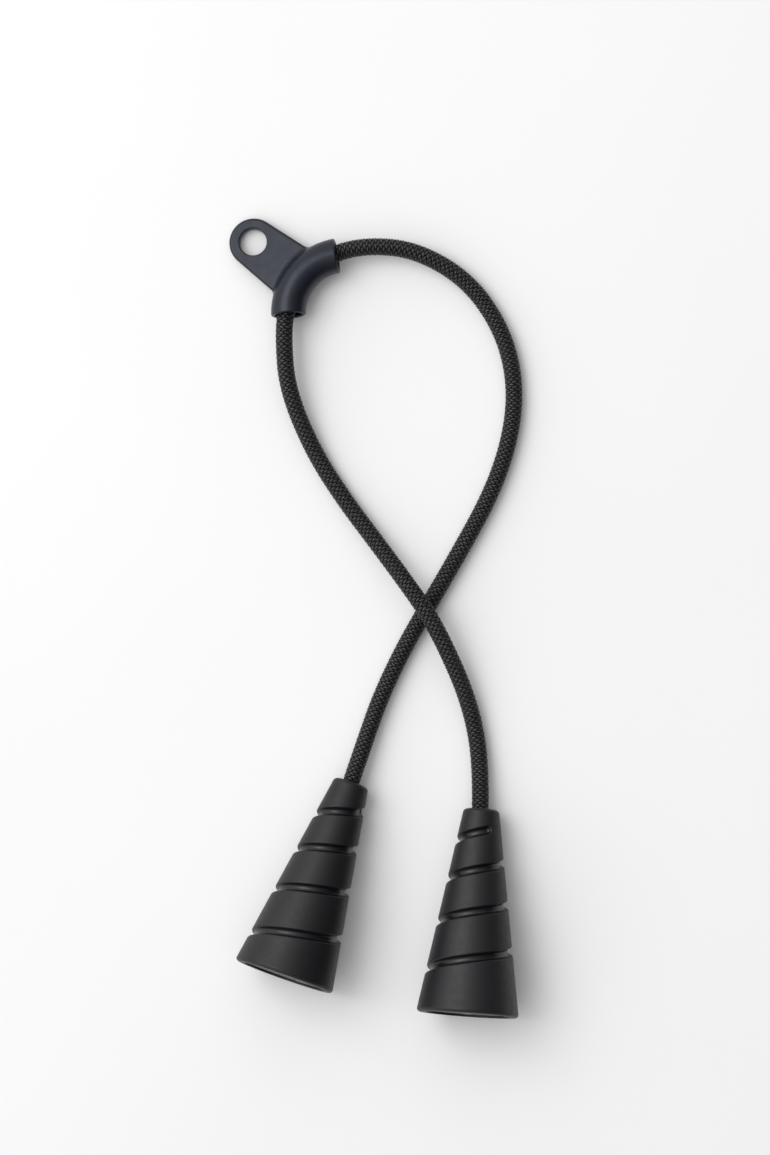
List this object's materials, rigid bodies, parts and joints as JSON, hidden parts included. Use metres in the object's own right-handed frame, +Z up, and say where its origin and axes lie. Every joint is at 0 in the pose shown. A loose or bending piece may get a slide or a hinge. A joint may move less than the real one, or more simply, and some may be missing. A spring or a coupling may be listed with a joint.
{
  "type": "cable machine pull rope",
  "caption": "Braided pull rope for a cable machine: a looped cord through a curved eyelet hanger, with a spiral-grooved rubber cone grip on each end.",
  "frame": {"origin": "on the table, under the middle of the box around the hanger and both cones, the cord left out", "axes": "+Y from the cones towards the hanger, +X from the left cone to the right cone, +Z up from the table"},
  "size_m": [0.1656, 0.4508, 0.0561],
  "materials": {
    "cord": "braided polyester, matte with small highlights",
    "cord_core": "parallel fibres",
    "hanger": "satin moulded nylon",
    "rubber": "matte moulded rubber",
    "core": "moulded",
    "bush": "natural acetal",
    "steel": "zinc plated",
    "aluminium": "turned"
  },
  "bodies": {
    "cord": {"cord_sheath": "cord", "cord_core": "cord_core", "load_washer_left": "steel", "crimp_barrel_left": "aluminium", "wedge_spike_left": "aluminium", "load_washer_right": "steel", "crimp_barrel_right": "aluminium", "wedge_spike_right": "aluminium"},
    "hanger": {"elbow_hanger": "hanger"},
    "cone_left": {"grip_sleeve_left": "rubber", "grip_core_left": "core", "guide_bush_left": "bush", "thrust_washer_left": "bush", "end_cap_left": "core", "cap_screws_left": "steel"},
    "cone_right": {"grip_sleeve_right": "rubber", "grip_core_right": "core", "guide_bush_right": "bush", "thrust_washer_right": "bush", "end_cap_right": "core", "cap_screws_right": "steel"}
  },
  "joints": [
    {"name": "hanger_slide", "type": "hinge", "parent": "cord", "child": "hanger", "pos_m": [-0.0014, 0.16234, 0.0189], "axis": [-0.1094, 0.1304, 0.9854], "range_deg": [-8, 8]},
    {"name": "cone_left_spin", "type": "hinge", "parent": "cord", "child": "cone_left", "pos_m": [-0.0118, -0.093, 0.00982], "axis": [-0.3278, -0.9309, 0.1609], "continuous": true},
    {"name": "cone_right_spin", "type": "hinge", "parent": "cord", "child": "cone_right", "pos_m": [0.06124, -0.108, 0.00982], "axis": [-0.0723, -0.9843, 0.1609], "continuous": true}
  ]
}
